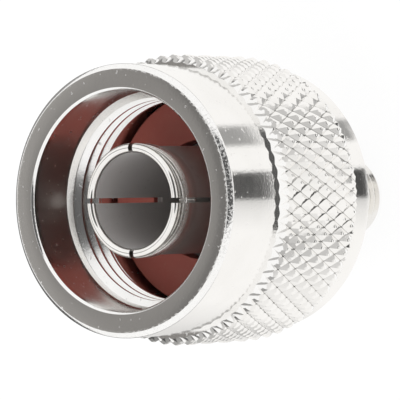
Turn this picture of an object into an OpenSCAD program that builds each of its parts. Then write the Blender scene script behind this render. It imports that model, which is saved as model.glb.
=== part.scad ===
// Coaxial adapter: a knurled screw-on plug at one end and a small threaded jack at the other.
// It stands on the jack's end face, with the plug's mouth up. Millimetres.
// Turned pieces are drawn as half sections. Each point is [radius, distance behind the rim],
// because the mouth's rim is where the plug's standard depths are measured from.

/* [Whole adapter] */
// Length from the coupling nut's rim to the jack's end face
overall_len = 29.6; // [28:0.1:34]
// Radial gap between the nut and the barrel that it turns on
turning_gap = 0.08; // [0.03:0.01:0.1]
// End float of the coupling nut along the barrel
nut_float = 0.3; // [0.1:0.05:0.5]
// Gap left between two faces that only rest on each other
rest_gap = 0.02; // [0.01:0.01:0.05]

/* [Coupling nut] */
// Diameter of the smooth collars
nut_d = 20; // [19:0.1:21]
// Length of the nut behind the groove for its snap ring
nut_tail = 2.25; // [1.6:0.05:3.2]
// Bevel on the rim's outer edge, and on the nut's rear edge
rim_bevel = 0.36; // [0.2:0.02:0.6]
// Minor diameter of the 5/8-24 coupling thread
thread_minor_d = 14.84; // [14.74:0.01:14.98]
// Length of the coupling thread
thread_len = 2.85; // [2.2:0.05:3.2]
// Radial step from the thread's crests out to the smooth mouth
mouth_step = 0.655; // [0.55:0.005:0.8]
// Bevel from the rim into the mouth
mouth_bevel = 0.3; // [0.1:0.05:0.5]
// Depth of the mouth, from the rim to the cone that leads into the thread
mouth_depth = 4; // [3.5:0.1:4.5]
// Radial step from the thread's crests out to the relief, where the gasket sits
relief_step = 0.88; // [0.7:0.01:1]
// Length of the smooth collar between the rim and the knurl
front_collar_len = 5.7; // [4.5:0.1:7]
// Length of the smooth collar behind the knurl
rear_collar_len = 2.3; // [1.5:0.1:3]

/* [Knurl] */
// How far the bottom of the knurl's grooves stands out from the smooth collars
knurl_rise = 0.35; // [0.1:0.05:0.5]
// Height of the knurl's pyramids
knurl_depth = 0.45; // [0.3:0.05:0.6]
// Number of grooves that run each way round the nut
knurl_starts = 62; // [50:2:72]
// Angle of the grooves to the nut's axis, in degrees
knurl_angle = 26; // [22:1:32]

/* [Outer contact] */
// Bore of the outer contact, which is the plug's line diameter
contact_bore_d = 7.04; // [6.9:0.02:7.1]
// Diameter over the raised lip at the finger tips
contact_lip_d = 8.4; // [8.3:0.02:8.46]
// Diameter of the fingers behind their lip
contact_stem_d = 8; // [7.8:0.05:8.05]
// Length of the raised lip
contact_lip_len = 2.1; // [1.5:0.1:3]
// Radius on the edges of the finger tips
tip_round = 0.28; // [0.1:0.02:0.3]
// How far the finger tips lie behind the rim
tip_setback = 1.3; // [0.8:0.05:1.8]
// Number of fingers
finger_count = 4; // [3:1:6]
// Width of the saw cuts between the fingers
slot_w = 0.38; // [0.25:0.01:0.5]
// Metal left between the end of the saw cuts and the gasket's face
slot_margin = 0.1; // [0:0.05:1.5]
// Diameter of the collar that is pressed into the front body
contact_collar_d = 9.8; // [9:0.1:10.4]
// Length of that collar
contact_collar_len = 2; // [1.5:0.1:2.4]

/* [Face gasket] */
// Gap between the gasket and the relief round it
gasket_gap = 0.3; // [0.15:0.05:0.5]
// Gap between the gasket's hole and the fingers
gasket_bore_gap = 0.45; // [0.3:0.05:0.6]
// Thickness of the gasket
gasket_thick = 1.5; // [1:0.1:1.8]
// Distance from the finger tips back to the gasket's face
gasket_depth = 8.7; // [8.65:0.05:9]

/* [Front body] */
// Radial clearance of the flange as it passes through the coupling thread
flange_gap = 0.2; // [0.1:0.05:0.4]
// Thickness of that flange
flange_thick = 1.45; // [1.2:0.05:1.6]
// Height of the shoulder between the flange and the barrel that the nut turns on
shoulder_h = 0.72; // [0.6:0.02:0.9]
// How far the barrel stands out behind the nut
barrel_proud = 0.7; // [0.4:0.1:1.2]
// Bore at the barrel's rear, where the jack's shank is pressed in
shank_d = 9; // [8.8:0.1:9.1]
// Length of that shank
shank_len = 3.6; // [3:0.1:4]

/* [Snap ring] */
// How far the snap ring stands out of the barrel's groove
snap_proud = 0.5; // [0.4:0.05:0.6]
// Radial width of the snap ring
snap_w = 1.1; // [1:0.05:1.3]
// Thickness of the snap ring
snap_thick = 0.9; // [0.7:0.05:1]
// Opening of the snap ring
snap_gap = 1.4; // [1:0.1:2]
// Distance from the flange back to the snap ring's front face
snap_setback = 1.7; // [1.5:0.1:1.8]

/* [Centre conductor and insulators] */
// Diameter of the plug's pin
pin_d = 1.6; // [1.5:0.05:1.68]
// Length of the pin ahead of its shoulder
pin_len = 4; // [3:0.1:4.5]
// How far the pin's point lies behind the finger tips
pin_setback = 6.4; // [6:0.1:6.6]
// Diameter of the shoulder behind the pin
shoulder_d = 3.04; // [2.8:0.02:3.2]
// Diameter of the neck that holds the pin in its bead
neck_d = 2.1; // [1.9:0.05:2.3]
// Length of the insulating bead that carries the pin
bead_len = 2.3; // [2:0.1:2.6]
// Diameter of the spigot that joins the two halves of the centre conductor
spigot_d = 0.8; // [0.6:0.05:0.9]
// Length of that spigot
spigot_len = 1.4; // [1:0.1:1.8]

/* [Jack] */
// Major diameter of the jack's 1/4-36 thread
jack_thread_d = 6.35; // [6.2:0.05:6.4]
// Length of the jack ahead of its neck
jack_len = 6.6; // [6:0.1:7.5]
// Width and depth of the run-out groove behind the jack's thread
runout = 0.45; // [0.3:0.05:0.6]
// Bevel at the jack's end
jack_bevel = 0.3; // [0.2:0.05:0.4]
// Diameter of the neck behind the jack
neck_round_d = 9.6; // [9.2:0.1:10]
// Distance across the neck's two wrench flats
flats_w = 8; // [7.6:0.1:8.4]
// Bore at the jack's mouth
jack_mouth_d = 4.62; // [4.6:0.01:4.7]
// Depth of that mouth, down to the insulator's face
jack_mouth_depth = 1.9; // [1.8:0.05:2]
// Diameter of the jack's insulator
jack_insulator_d = 4.1; // [4:0.05:4.15]
// Diameter of the jack's centre contact
socket_d = 1.27; // [1.2:0.01:1.3]
// Hole of the jack's centre contact
socket_bore_d = 0.94; // [0.9:0.01:0.98]
// Depth of that hole
socket_depth = 2.9; // [2.4:0.1:3.2]
// Width of the saw cut across the centre contact
socket_slot_w = 0.2; // [0.15:0.01:0.25]

/* [Hidden] */

$fn = 96;
cut = 0.5;           // how far a cutting solid reaches past the metal that it cuts
edge = 0.15;         // small bevel on edges inside the adapter
groove_play = 5 * rest_gap;   // how much longer the nut's groove is than the snap ring

// Distances behind the rim, from the mouth to the jack
cone_end = mouth_depth + mouth_step;
thread_end = cone_end + thread_len;
relief_start = thread_end + relief_step;
lip_end = tip_setback + contact_lip_len;
gasket_front = tip_setback + gasket_depth;
slot_len = gasket_depth - slot_margin;
flange_front = gasket_front + gasket_thick;
flange_rear = flange_front + flange_thick;
nut_shoulder = flange_rear + nut_float + 2 * rest_gap;
snap_front = flange_rear + snap_setback;
snap_rear = snap_front + snap_thick;
nut_len = snap_rear + groove_play + nut_tail;
barrel_rear = nut_len + barrel_proud;
shank_front = barrel_rear - shank_len;
collar_rear = flange_front + contact_collar_len;
bead_front = shank_front - bead_len;
pin_front = tip_setback + pin_setback;
shoulder_front = pin_front + pin_len;
neck_end = overall_len - jack_len;
jack_face = overall_len - jack_mouth_depth;

// Radii
nut_r = nut_d / 2;
thread_r = thread_minor_d / 2;
mouth_r = thread_r + mouth_step;
relief_r = thread_r + relief_step;
flange_r = thread_r - flange_gap;
barrel_r = flange_r - shoulder_h;
nut_bore_r = barrel_r + turning_gap;
snap_r = barrel_r + snap_proud;
snap_inner_r = snap_r - snap_w;
contact_bore_r = contact_bore_d / 2;
contact_stem_r = contact_stem_d / 2;
gasket_r = relief_r - gasket_gap;
gasket_bore_r = contact_stem_r + gasket_bore_gap;
knurl_root_r = nut_r + knurl_rise;
knurl_crest_r = knurl_root_r + knurl_depth;
jack_r = jack_thread_d / 2;

// Knurl lattice: half a groove pitch round the nut, and the row height that gives the angle
knurl_len = nut_len - front_collar_len - rear_collar_len;
knurl_columns = 2 * knurl_starts;
half_pitch = 2 * PI * knurl_crest_r / knurl_columns;
knurl_rows = max(2, round(knurl_len * tan(knurl_angle) / half_pitch));

// A turned solid from its half section
module turned(section) {
    rotate_extrude() polygon([for (p = section) [p[0], overall_len - p[1]]]);
}

// A quarter round in a half section, from one angle to another about a centre
function quarter(centre, radius, from, to, steps = 5) =
    [for (k = [0:steps]) let (t = from + (to - from) * k / steps)
        [centre[0] + radius * cos(t), centre[1] + radius * sin(t)]];

// The knurled band: the points of a lattice stand at the crest or in a groove by turns
function lattice_r(i, j) = (i + j) % 2 == 0 ? knurl_root_r : knurl_crest_r;
function ring_points(j, r) =
    [for (i = [0:knurl_columns - 1]) let (a = i * 360 / knurl_columns, q = r(i, j))
        [q * cos(a), q * sin(a), overall_len - front_collar_len - j * knurl_len / knurl_rows]];
function at(i, j) = j * knurl_columns + i % knurl_columns;

module knurl_band() {
    inside = function (i, j) (nut_r + relief_r) / 2;
    rows = [for (j = [0:knurl_rows]) each ring_points(j, function (i, j) lattice_r(i, j))];
    core = [each ring_points(0, inside), each ring_points(knurl_rows, inside)];
    top = knurl_rows + 1;
    slopes = [for (j = [0:knurl_rows - 1], i = [0:knurl_columns - 1]) each
        (i + j) % 2 == 0
            ? [[at(i, j), at(i + 1, j), at(i + 1, j + 1)], [at(i, j), at(i + 1, j + 1), at(i, j + 1)]]
            : [[at(i, j), at(i + 1, j), at(i, j + 1)], [at(i + 1, j), at(i + 1, j + 1), at(i, j + 1)]]];
    ends = [for (i = [0:knurl_columns - 1]) each [
        [at(i, 0), at(i, top), at(i + 1, top), at(i + 1, 0)],
        [at(i, knurl_rows), at(i + 1, knurl_rows), at(i + 1, top + 1), at(i, top + 1)],
        [at(i, top), at(i, top + 1), at(i + 1, top + 1), at(i + 1, top)]]];
    polyhedron(points = concat(rows, core), faces = concat(slopes, ends));
}

// Coupling nut: mouth, thread, gasket relief and snap-ring groove inside, knurl outside
module coupling_nut() {
    groove_front = snap_front - rest_gap;
    groove_rear = snap_rear + groove_play;
    groove_r = snap_r + nut_float;
    color("silver") {
        turned([
            [nut_r - rim_bevel, 0], [nut_r, rim_bevel],
            [nut_r, nut_len - rim_bevel], [nut_r - rim_bevel, nut_len],
            [nut_bore_r + edge, nut_len], [nut_bore_r, nut_len - edge],
            [nut_bore_r, groove_rear], [groove_r, groove_rear],
            [groove_r, groove_front], [nut_bore_r, groove_front],
            [nut_bore_r, nut_shoulder], [relief_r, nut_shoulder],
            [relief_r, relief_start], [thread_r, thread_end],
            [thread_r, cone_end], [mouth_r, mouth_depth],
            [mouth_r, mouth_bevel], [mouth_r + mouth_bevel, 0]]);
        knurl_band();
    }
}

// Snap ring: a flat C that sits in the barrel's groove and carries the nut
module snap_ring() {
    color("lightgray") difference() {
        turned([[snap_r, snap_front], [snap_r, snap_rear],
                [snap_inner_r, snap_rear], [snap_inner_r, snap_front]]);
        translate([0, -snap_gap / 2, overall_len - snap_rear - cut])
            cube([2 * snap_r, snap_gap, snap_thick + 2 * cut]);
    }
}

// Face gasket: the flat silicone washer that seals on the mating jack's rim
module face_gasket() {
    color("firebrick") turned([
        [gasket_bore_r, gasket_front], [gasket_r - edge, gasket_front],
        [gasket_r, gasket_front + edge], [gasket_r, flange_front - edge],
        [gasket_r - edge, flange_front], [gasket_bore_r, flange_front]]);
}

// Outer contact: a thin tube sawn into spring fingers, with a collar pressed into the body
module outer_contact() {
    lip_r = contact_lip_d / 2;
    slope = lip_r - contact_stem_r;
    color("gainsboro") difference() {
        turned(concat(
            [[contact_bore_r, collar_rear]],
            quarter([contact_bore_r + tip_round, tip_setback + tip_round], tip_round, 180, 270),
            quarter([lip_r - tip_round, tip_setback + tip_round], tip_round, 270, 360),
            [[lip_r, lip_end], [contact_stem_r, lip_end + slope], [contact_stem_r, flange_front],
             [contact_collar_d / 2, flange_front], [contact_collar_d / 2, collar_rear]]));
        for (k = [0:finger_count - 1])
            rotate(k * 360 / finger_count)
                translate([0, -slot_w / 2, overall_len - tip_setback - slot_len])
                    cube([contact_lip_d, slot_w, slot_len + cut]);
    }
}

// Front body: the flange behind the gasket and the barrel that the nut turns on
module front_body() {
    groove_front = snap_front - nut_float - rest_gap;
    groove_rear = snap_rear + rest_gap;
    groove_r = snap_inner_r - turning_gap;
    color("silver") turned([
        [contact_collar_d / 2, flange_front], [flange_r - edge, flange_front],
        [flange_r, flange_front + edge], [flange_r, flange_rear],
        [barrel_r, flange_rear], [barrel_r, groove_front],
        [groove_r, groove_front], [groove_r, groove_rear],
        [barrel_r, groove_rear], [barrel_r, barrel_rear - 2 * edge],
        [barrel_r - 2 * edge, barrel_rear], [shank_d / 2, barrel_rear],
        [shank_d / 2, shank_front], [contact_bore_r, shank_front],
        [contact_bore_r, collar_rear], [contact_collar_d / 2, collar_rear]]);
}

// Bead: the insulator that centres the pin in the plug
module pin_bead() {
    color("white") turned([
        [neck_d / 2, bead_front], [contact_bore_r, bead_front],
        [contact_bore_r, shank_front], [neck_d / 2, shank_front]]);
}

// Centre pin: point, pin, shoulder, and a neck bored for the socket's spigot
module centre_pin() {
    pin_r = pin_d / 2;
    color("goldenrod") turned(concat(
        [[0, pin_front]],
        quarter([pin_r / 2, pin_front + pin_r / 2], pin_r / 2, 270, 360),
        [[pin_r, shoulder_front], [shoulder_d / 2, shoulder_front],
         [shoulder_d / 2, bead_front], [neck_d / 2, bead_front],
         [neck_d / 2, shank_front], [spigot_d / 2, shank_front],
         [spigot_d / 2, shank_front - spigot_len], [0, shank_front - spigot_len]]));
}

// Socket contact: the other half of the centre conductor, sawn open at the jack's end
module socket_contact() {
    hole_start = jack_face - socket_depth;
    color("goldenrod") difference() {
        turned([
            [0, shank_front - spigot_len], [spigot_d / 2, shank_front - spigot_len],
            [spigot_d / 2, shank_front], [socket_d / 2, shank_front],
            [socket_d / 2, jack_face - edge / 3], [socket_d / 2 - edge / 3, jack_face],
            [socket_bore_d / 2, jack_face], [socket_bore_d / 2, hole_start], [0, hole_start]]);
        translate([-socket_d, -socket_slot_w / 2, overall_len - jack_face - cut])
            cube([2 * socket_d, socket_slot_w, socket_depth + cut]);
    }
}

// Jack insulator: the long bush between the centre conductor and the jack's shell
module jack_insulator() {
    color("white") turned([
        [socket_d / 2, shank_front], [jack_insulator_d / 2, shank_front],
        [jack_insulator_d / 2, jack_face], [socket_d / 2, jack_face]]);
}

// Jack shell: shank, neck with two wrench flats, and the small threaded jack
module jack_shell() {
    jack_mouth_r = jack_mouth_d / 2;
    neck_r = neck_round_d / 2;
    color("silver") difference() {
        turned([
            [jack_insulator_d / 2, shank_front], [shank_d / 2, shank_front],
            [shank_d / 2, barrel_rear], [neck_r, barrel_rear],
            [neck_r, neck_end - edge], [neck_r - edge, neck_end],
            [jack_r - runout, neck_end], [jack_r - runout, neck_end + runout],
            [jack_r, neck_end + 2 * runout], [jack_r, overall_len - jack_bevel],
            [jack_r - jack_bevel, overall_len], [jack_mouth_r + edge, overall_len],
            [jack_mouth_r, overall_len - edge], [jack_mouth_r, jack_face],
            [jack_insulator_d / 2, jack_face]]);
        for (side = [-1, 1])
            translate([side * (flats_w + neck_round_d) / 2, 0, overall_len - (barrel_rear + neck_end) / 2])
                cube([neck_round_d, 2 * neck_round_d, neck_end - barrel_rear], center = true);
    }
}

coupling_nut();
snap_ring();
face_gasket();
outer_contact();
front_body();
pin_bead();
centre_pin();
socket_contact();
jack_insulator();
jack_shell();
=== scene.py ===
"""Finished model of a coaxial adapter: a knurled screw-on plug on a small threaded jack.

Sizes in the classes are millimetres, and the meshes are in metres. Turned pieces are drawn as
half sections: each corner has its radius, its distance behind the plug's rim, and its round.
"""

import logging
import math
from dataclasses import dataclass, field
from enum import Enum
from typing import Any, Optional, Union

import bmesh
import bpy
from mathutils import Matrix, Vector

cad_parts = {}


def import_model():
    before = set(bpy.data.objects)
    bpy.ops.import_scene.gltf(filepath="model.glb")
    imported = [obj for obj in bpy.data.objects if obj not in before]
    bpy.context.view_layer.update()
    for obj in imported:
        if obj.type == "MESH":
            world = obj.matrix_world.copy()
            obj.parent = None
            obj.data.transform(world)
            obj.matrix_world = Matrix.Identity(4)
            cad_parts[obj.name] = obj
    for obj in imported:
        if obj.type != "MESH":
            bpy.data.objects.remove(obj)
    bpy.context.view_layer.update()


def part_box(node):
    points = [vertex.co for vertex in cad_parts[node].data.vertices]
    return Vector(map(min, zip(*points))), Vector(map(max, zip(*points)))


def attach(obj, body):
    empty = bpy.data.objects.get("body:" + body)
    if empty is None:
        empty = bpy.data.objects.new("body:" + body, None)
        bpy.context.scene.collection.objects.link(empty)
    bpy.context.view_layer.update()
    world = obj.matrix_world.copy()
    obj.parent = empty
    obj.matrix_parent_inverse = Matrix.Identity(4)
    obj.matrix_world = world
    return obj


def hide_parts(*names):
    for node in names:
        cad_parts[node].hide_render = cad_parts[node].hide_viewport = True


LOG = logging.getLogger("adapter")
MM = 0.001
LATHE_CENTRE = 1.0  # radius of the circle that half sections are swept along, in millimetres
WELD = 1e-7  # corners nearer to each other than this are one corner, in metres
Pair = tuple[float, float]
Triple = tuple[float, float, float]
Section = list[Triple]
Colour = Triple


class Operation(Enum):
    """How a tool solid changes the solid that it meets."""

    CUT = "DIFFERENCE"
    JOIN = "UNION"


class Slot(Enum):
    """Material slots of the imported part."""

    NUT = "nut_plating"
    BODY = "body_plating"
    CONTACT = "contact_plating"
    SPRING = "spring_steel"
    SILICONE = "silicone"
    INSULATOR = "insulator"
    BEAD = "bead_plastic"
    GOLD = "gold_plating"


# ------------------------------------------------------------------ node sheets


class Wire:
    """An output socket. Arithmetic on it adds Math nodes to its sheet."""

    def __init__(self, sheet: "NodeSheet", socket: bpy.types.NodeSocket) -> None:
        """Wraps one socket.

        Args:
            sheet: The sheet that the socket's node stands on.
            socket: The output socket.
        """
        self.sheet = sheet
        self.socket = socket

    def __add__(self, other: "Value") -> "Wire":
        """Sum."""
        return self.sheet.maths("ADD", self, other)

    def __radd__(self, other: "Value") -> "Wire":
        """Sum, reflected."""
        return self.sheet.maths("ADD", other, self)

    def __sub__(self, other: "Value") -> "Wire":
        """Difference."""
        return self.sheet.maths("SUBTRACT", self, other)

    def __rsub__(self, other: "Value") -> "Wire":
        """Difference, reflected."""
        return self.sheet.maths("SUBTRACT", other, self)

    def __mul__(self, other: "Value") -> "Wire":
        """Product."""
        return self.sheet.maths("MULTIPLY", self, other)

    def __rmul__(self, other: "Value") -> "Wire":
        """Product, reflected."""
        return self.sheet.maths("MULTIPLY", other, self)

    def __truediv__(self, other: "Value") -> "Wire":
        """Quotient."""
        return self.sheet.maths("DIVIDE", self, other)

    def __rtruediv__(self, other: "Value") -> "Wire":
        """Quotient, reflected."""
        return self.sheet.maths("DIVIDE", other, self)

    def __pow__(self, other: "Value") -> "Wire":
        """Power."""
        return self.sheet.maths("POWER", self, other)

    def __mod__(self, other: "Value") -> "Wire":
        """Remainder, never below zero."""
        return self.sheet.maths("FLOORED_MODULO", self, other)

    def __gt__(self, other: "Value") -> "Wire":
        """One where this is greater, and zero elsewhere."""
        return self.sheet.maths("GREATER_THAN", self, other)

    def __lt__(self, other: "Value") -> "Wire":
        """One where this is less, and zero elsewhere."""
        return self.sheet.maths("LESS_THAN", self, other)

    def __abs__(self) -> "Wire":
        """Size without sign."""
        return self.sheet.maths("ABSOLUTE", self)

    def least(self, other: "Value") -> "Wire":
        """The smaller of two values."""
        return self.sheet.maths("MINIMUM", self, other)

    def most(self, other: "Value") -> "Wire":
        """The larger of two values."""
        return self.sheet.maths("MAXIMUM", self, other)

    def floor(self) -> "Wire":
        """Whole part."""
        return self.sheet.maths("FLOOR", self)

    def wave(self) -> "Wire":
        """Zero at whole numbers and one halfway between them, in straight lines."""
        return 1.0 - abs((self % 1.0) * 2.0 - 1.0)

    def ramp(self, low: "Value", high: "Value", start: "Value" = 0.0, end: "Value" = 1.0) -> "Wire":
        """Smooth step.

        Args:
            low: Value at which the step begins.
            high: Value at which it ends.
            start: Result below the step.
            end: Result above it.

        Returns:
            The stepped value.
        """
        return self.sheet.node(
            "ShaderNodeMapRange",
            {"interpolation_type": "SMOOTHSTEP"},
            {"Value": self, "From Min": low, "From Max": high, "To Min": start, "To Max": end},
        )["Result"]


Value = Union[Wire, float, int, bool, str, tuple, bpy.types.ID]


class Outlets:
    """The outputs of one placed node, by name, identifier or index."""

    def __init__(self, sheet: "NodeSheet", node: bpy.types.Node) -> None:
        """Wraps one node of a sheet."""
        self.sheet = sheet
        self.node = node

    def __getitem__(self, key: Union[str, int]) -> Wire:
        """The output with that name, identifier or index."""
        return Wire(self.sheet, NodeSheet.find(self.node.outputs, key))


class NodeSheet:
    """A node tree that is written as expressions."""

    def __init__(self, tree: bpy.types.NodeTree) -> None:
        """Wraps a tree."""
        self.tree = tree

    @staticmethod
    def find(sockets: Any, key: Union[str, int]) -> bpy.types.NodeSocket:
        """Finds a socket.

        Args:
            sockets: A node's inputs or outputs.
            key: The socket's index, identifier or name.

        Returns:
            The socket.
        """
        if isinstance(key, int):
            return sockets[key]
        for socket in sockets:
            if socket.identifier == key:
                return socket
        return sockets[key]

    def node(
        self,
        kind: str,
        settings: Optional[dict[str, Any]] = None,
        sockets: Optional[dict[Union[str, int], Value]] = None,
    ) -> Outlets:
        """Places one node.

        Args:
            kind: The node's type.
            settings: Its properties, set first. "stops" is a list of (place, colour) for a ramp.
            sockets: A value or a link for each input that isn't left as it is.

        Returns:
            The node's outputs.
        """
        node = self.tree.nodes.new(kind)
        for key, value in (settings or {}).items():
            if key == "stops":
                stops = node.color_ramp.elements
                while len(stops) < len(value):
                    stops.new(1.0)
                for stop, (place, colour) in zip(stops, value):
                    stop.position = place
                    stop.color = (*colour, 1.0)
            else:
                setattr(node, key, value)
        for key, value in (sockets or {}).items():
            socket = self.find(node.inputs, key)
            if isinstance(value, Wire):
                self.tree.links.new(value.socket, socket)
            else:
                socket.default_value = value
        return Outlets(self, node)

    def maths(self, operation: str, *operands: Value) -> Wire:
        """Places one Math node.

        Args:
            operation: The node's operation.
            operands: Its inputs, in order.

        Returns:
            The result.
        """
        return self.node("ShaderNodeMath", {"operation": operation}, dict(enumerate(operands)))[0]

    def vector(self, x: Value, y: Value, z: Value) -> Wire:
        """A vector from its three parts."""
        return self.node("ShaderNodeCombineXYZ", sockets={"X": x, "Y": y, "Z": z})[0]

    def parts(self, vector: Wire) -> tuple[Wire, Wire, Wire]:
        """The three parts of a vector."""
        split = self.node("ShaderNodeSeparateXYZ", sockets={0: vector})
        return split["X"], split["Y"], split["Z"]

    def mix(self, amount: Value, low: Union[Colour, Wire], high: Union[Colour, Wire]) -> Wire:
        """A colour between two colours.

        Args:
            amount: Share of the second colour, from 0 to 1.
            low: The first colour.
            high: The second colour.

        Returns:
            The mixed colour.
        """
        ends = [c if isinstance(c, Wire) else (*c, 1.0) for c in (low, high)]
        return self.node(
            "ShaderNodeMix",
            {"data_type": "RGBA"},
            {"Factor_Float": amount, "A_Color": ends[0], "B_Color": ends[1]},
        )["Result_Color"]


def bare_tree(owner: Union[bpy.types.Material, bpy.types.World]) -> bpy.types.NodeTree:
    """Switches on an owner's nodes.

    Args:
        owner: A material or a world.

    Returns:
        Its tree, emptied.
    """
    owner.use_nodes = True
    owner.node_tree.nodes.clear()
    return owner.node_tree


# ------------------------------------------------------------------ shape trees


class ShapeTree(NodeSheet):
    """A Geometry Nodes tree with named sizes, which ends in real, dressed geometry."""

    def __init__(self, name: str, sizes: dict[str, Union[int, float]]) -> None:
        """Starts the tree.

        Args:
            name: The tree's name.
            sizes: The named inputs and their defaults.
        """
        super().__init__(bpy.data.node_groups.new(name, "GeometryNodeTree"))
        face = self.tree.interface
        face.new_socket("Geometry", in_out="INPUT", socket_type="NodeSocketGeometry")
        for label, value in sizes.items():
            kind = "NodeSocketInt" if isinstance(value, int) else "NodeSocketFloat"
            face.new_socket(label, in_out="INPUT", socket_type=kind).default_value = value
        face.new_socket("Material", in_out="INPUT", socket_type="NodeSocketMaterial")
        face.new_socket("Geometry", in_out="OUTPUT", socket_type="NodeSocketGeometry")
        self.given = self.node("NodeGroupInput")
        self.build()

    def build(self) -> None:
        """Places the tree's nodes. Each kind of tree has its own."""
        raise NotImplementedError

    def moved(self, geometry: Wire, x: Value, y: Value, z: Value) -> Wire:
        """Geometry moved by three distances."""
        shift = self.vector(x, y, z)
        return self.node(
            "GeometryNodeTransform", sockets={"Geometry": geometry, "Translation": shift}
        )[0]

    def welded(self, geometry: Wire) -> Wire:
        """Geometry with its doubled corners merged."""
        return self.node(
            "GeometryNodeMergeByDistance", sockets={"Geometry": geometry, "Distance": WELD}
        )[0]

    def close(self, geometry: Wire) -> None:
        """Ends the tree: instances become real, and the finish is set.

        Args:
            geometry: What the tree has made.
        """
        real = self.node("GeometryNodeRealizeInstances", sockets={"Geometry": geometry})[0]
        finish = self.given["Material"]
        dressed = self.node(
            "GeometryNodeSetMaterial", sockets={"Geometry": real, "Material": finish}
        )[0]
        self.node("NodeGroupOutput", sockets={"Geometry": dressed})

    def grow(
        self,
        name: str,
        material: bpy.types.Material,
        start: Optional[bpy.types.Mesh] = None,
        **sizes: Union[int, float],
    ) -> bpy.types.Object:
        """Makes a plain mesh object from the tree.

        Args:
            name: The object's name.
            material: Its finish.
            start: The mesh that the tree starts from, such as a half section.
            sizes: Values for the named inputs, with underscores for spaces.

        Returns:
            The object, with its modifier already turned into a mesh.
        """
        made = bpy.data.objects.new(name, start or bpy.data.meshes.new(name))
        bpy.context.scene.collection.objects.link(made)
        modifier = made.modifiers.new("shape", "NODES")
        modifier.node_group = self.tree
        sockets = self.tree.interface.items_tree
        given = {s.name: s.identifier for s in sockets if s.in_out == "INPUT"}
        for label, value in sizes.items():
            modifier[given[label.replace("_", " ")]] = value
        modifier[given["Material"]] = material
        return settle(made)


class TurningTree(ShapeTree):
    """Sweeps a half section round the axis, with its corners rounded."""

    def __init__(self) -> None:
        """Starts the tree with its sizes."""
        super().__init__("turning", {"Rim Height": 0.0, "Segments": 128, "Round Steps": 3})

    def build(self) -> None:
        """Half section to curve, rounds, sweep round a small circle, then up to its height."""
        line = self.node("GeometryNodeMeshToCurve", sockets={"Mesh": self.given["Geometry"]})[0]
        size = self.node(
            "GeometryNodeInputNamedAttribute", {"data_type": "FLOAT"}, {"Name": "round"}
        )["Attribute"]
        rounded = self.node(
            "GeometryNodeFilletCurve",
            {"mode": "POLY"},
            {
                "Curve": line,
                "Count": self.given["Round Steps"],
                "Radius": size,
                "Limit Radius": True,
            },
        )[0]
        circle = self.node(
            "GeometryNodeCurvePrimitiveCircle",
            sockets={"Resolution": self.given["Segments"], "Radius": LATHE_CENTRE * MM},
        )[0]
        turned = self.node(
            "GeometryNodeCurveToMesh", sockets={"Curve": circle, "Profile Curve": rounded}
        )[0]
        self.close(self.welded(self.moved(turned, 0.0, 0.0, self.given["Rim Height"])))


class HelixTree(ShapeTree):
    """Sweeps a tooth's section along a right-handed helix, as a solid cutter."""

    def __init__(self) -> None:
        """Starts the tree with its sizes."""
        super().__init__(
            "helix",
            {"Radius": 0.007, "Pitch": 0.001, "Turns": 4.0, "Base Height": 0.0, "Steps": 96},
        )

    def build(self) -> None:
        """Spiral with level normals, the section swept along it, capped, then up to its height."""
        spiral = self.node(
            "GeometryNodeCurveSpiral",
            sockets={
                "Resolution": self.given["Steps"],
                "Rotations": self.given["Turns"],
                "Start Radius": self.given["Radius"],
                "End Radius": self.given["Radius"],
                "Height": self.given["Pitch"] * self.given["Turns"],
                "Reverse": True,
            },
        )[0]
        level = self.node("GeometryNodeSetCurveNormal", {"mode": "Z_UP"}, {"Curve": spiral})[0]
        tooth = self.node("GeometryNodeMeshToCurve", sockets={"Mesh": self.given["Geometry"]})[0]
        swept = self.node(
            "GeometryNodeCurveToMesh",
            sockets={"Curve": level, "Profile Curve": tooth, "Fill Caps": True},
        )[0]
        self.close(self.moved(swept, 0.0, 0.0, self.given["Base Height"]))


class SawTree(ShapeTree):
    """Flat blades set round the axis, for the cuts between spring fingers."""

    def __init__(self) -> None:
        """Starts the tree with its sizes."""
        super().__init__(
            "saw cuts",
            {"Cuts": 4, "Inner Radius": 0.002, "Outer Radius": 0.005, "Width": 0.0004,
             "Bottom Height": 0.0, "Top Height": 0.01},
        )

    def build(self) -> None:
        """One blade, instanced on points at the axis and turned by its number."""
        inner, outer = self.given["Inner Radius"], self.given["Outer Radius"]
        low, high = self.given["Bottom Height"], self.given["Top Height"]
        blade = self.node(
            "GeometryNodeMeshCube",
            sockets={"Size": self.vector(outer - inner, self.given["Width"], high - low)},
        )["Mesh"]
        placed = self.moved(blade, (outer + inner) * 0.5, 0.0, (high + low) * 0.5)
        turn = self.node("GeometryNodeInputIndex")[0] * math.tau / self.given["Cuts"]
        points = self.node("GeometryNodePoints", sockets={"Count": self.given["Cuts"]})[0]
        rotation = self.vector(0.0, 0.0, turn)
        self.close(
            self.node(
                "GeometryNodeInstanceOnPoints",
                sockets={"Points": points, "Instance": placed, "Rotation": rotation},
            )[0]
        )


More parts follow.
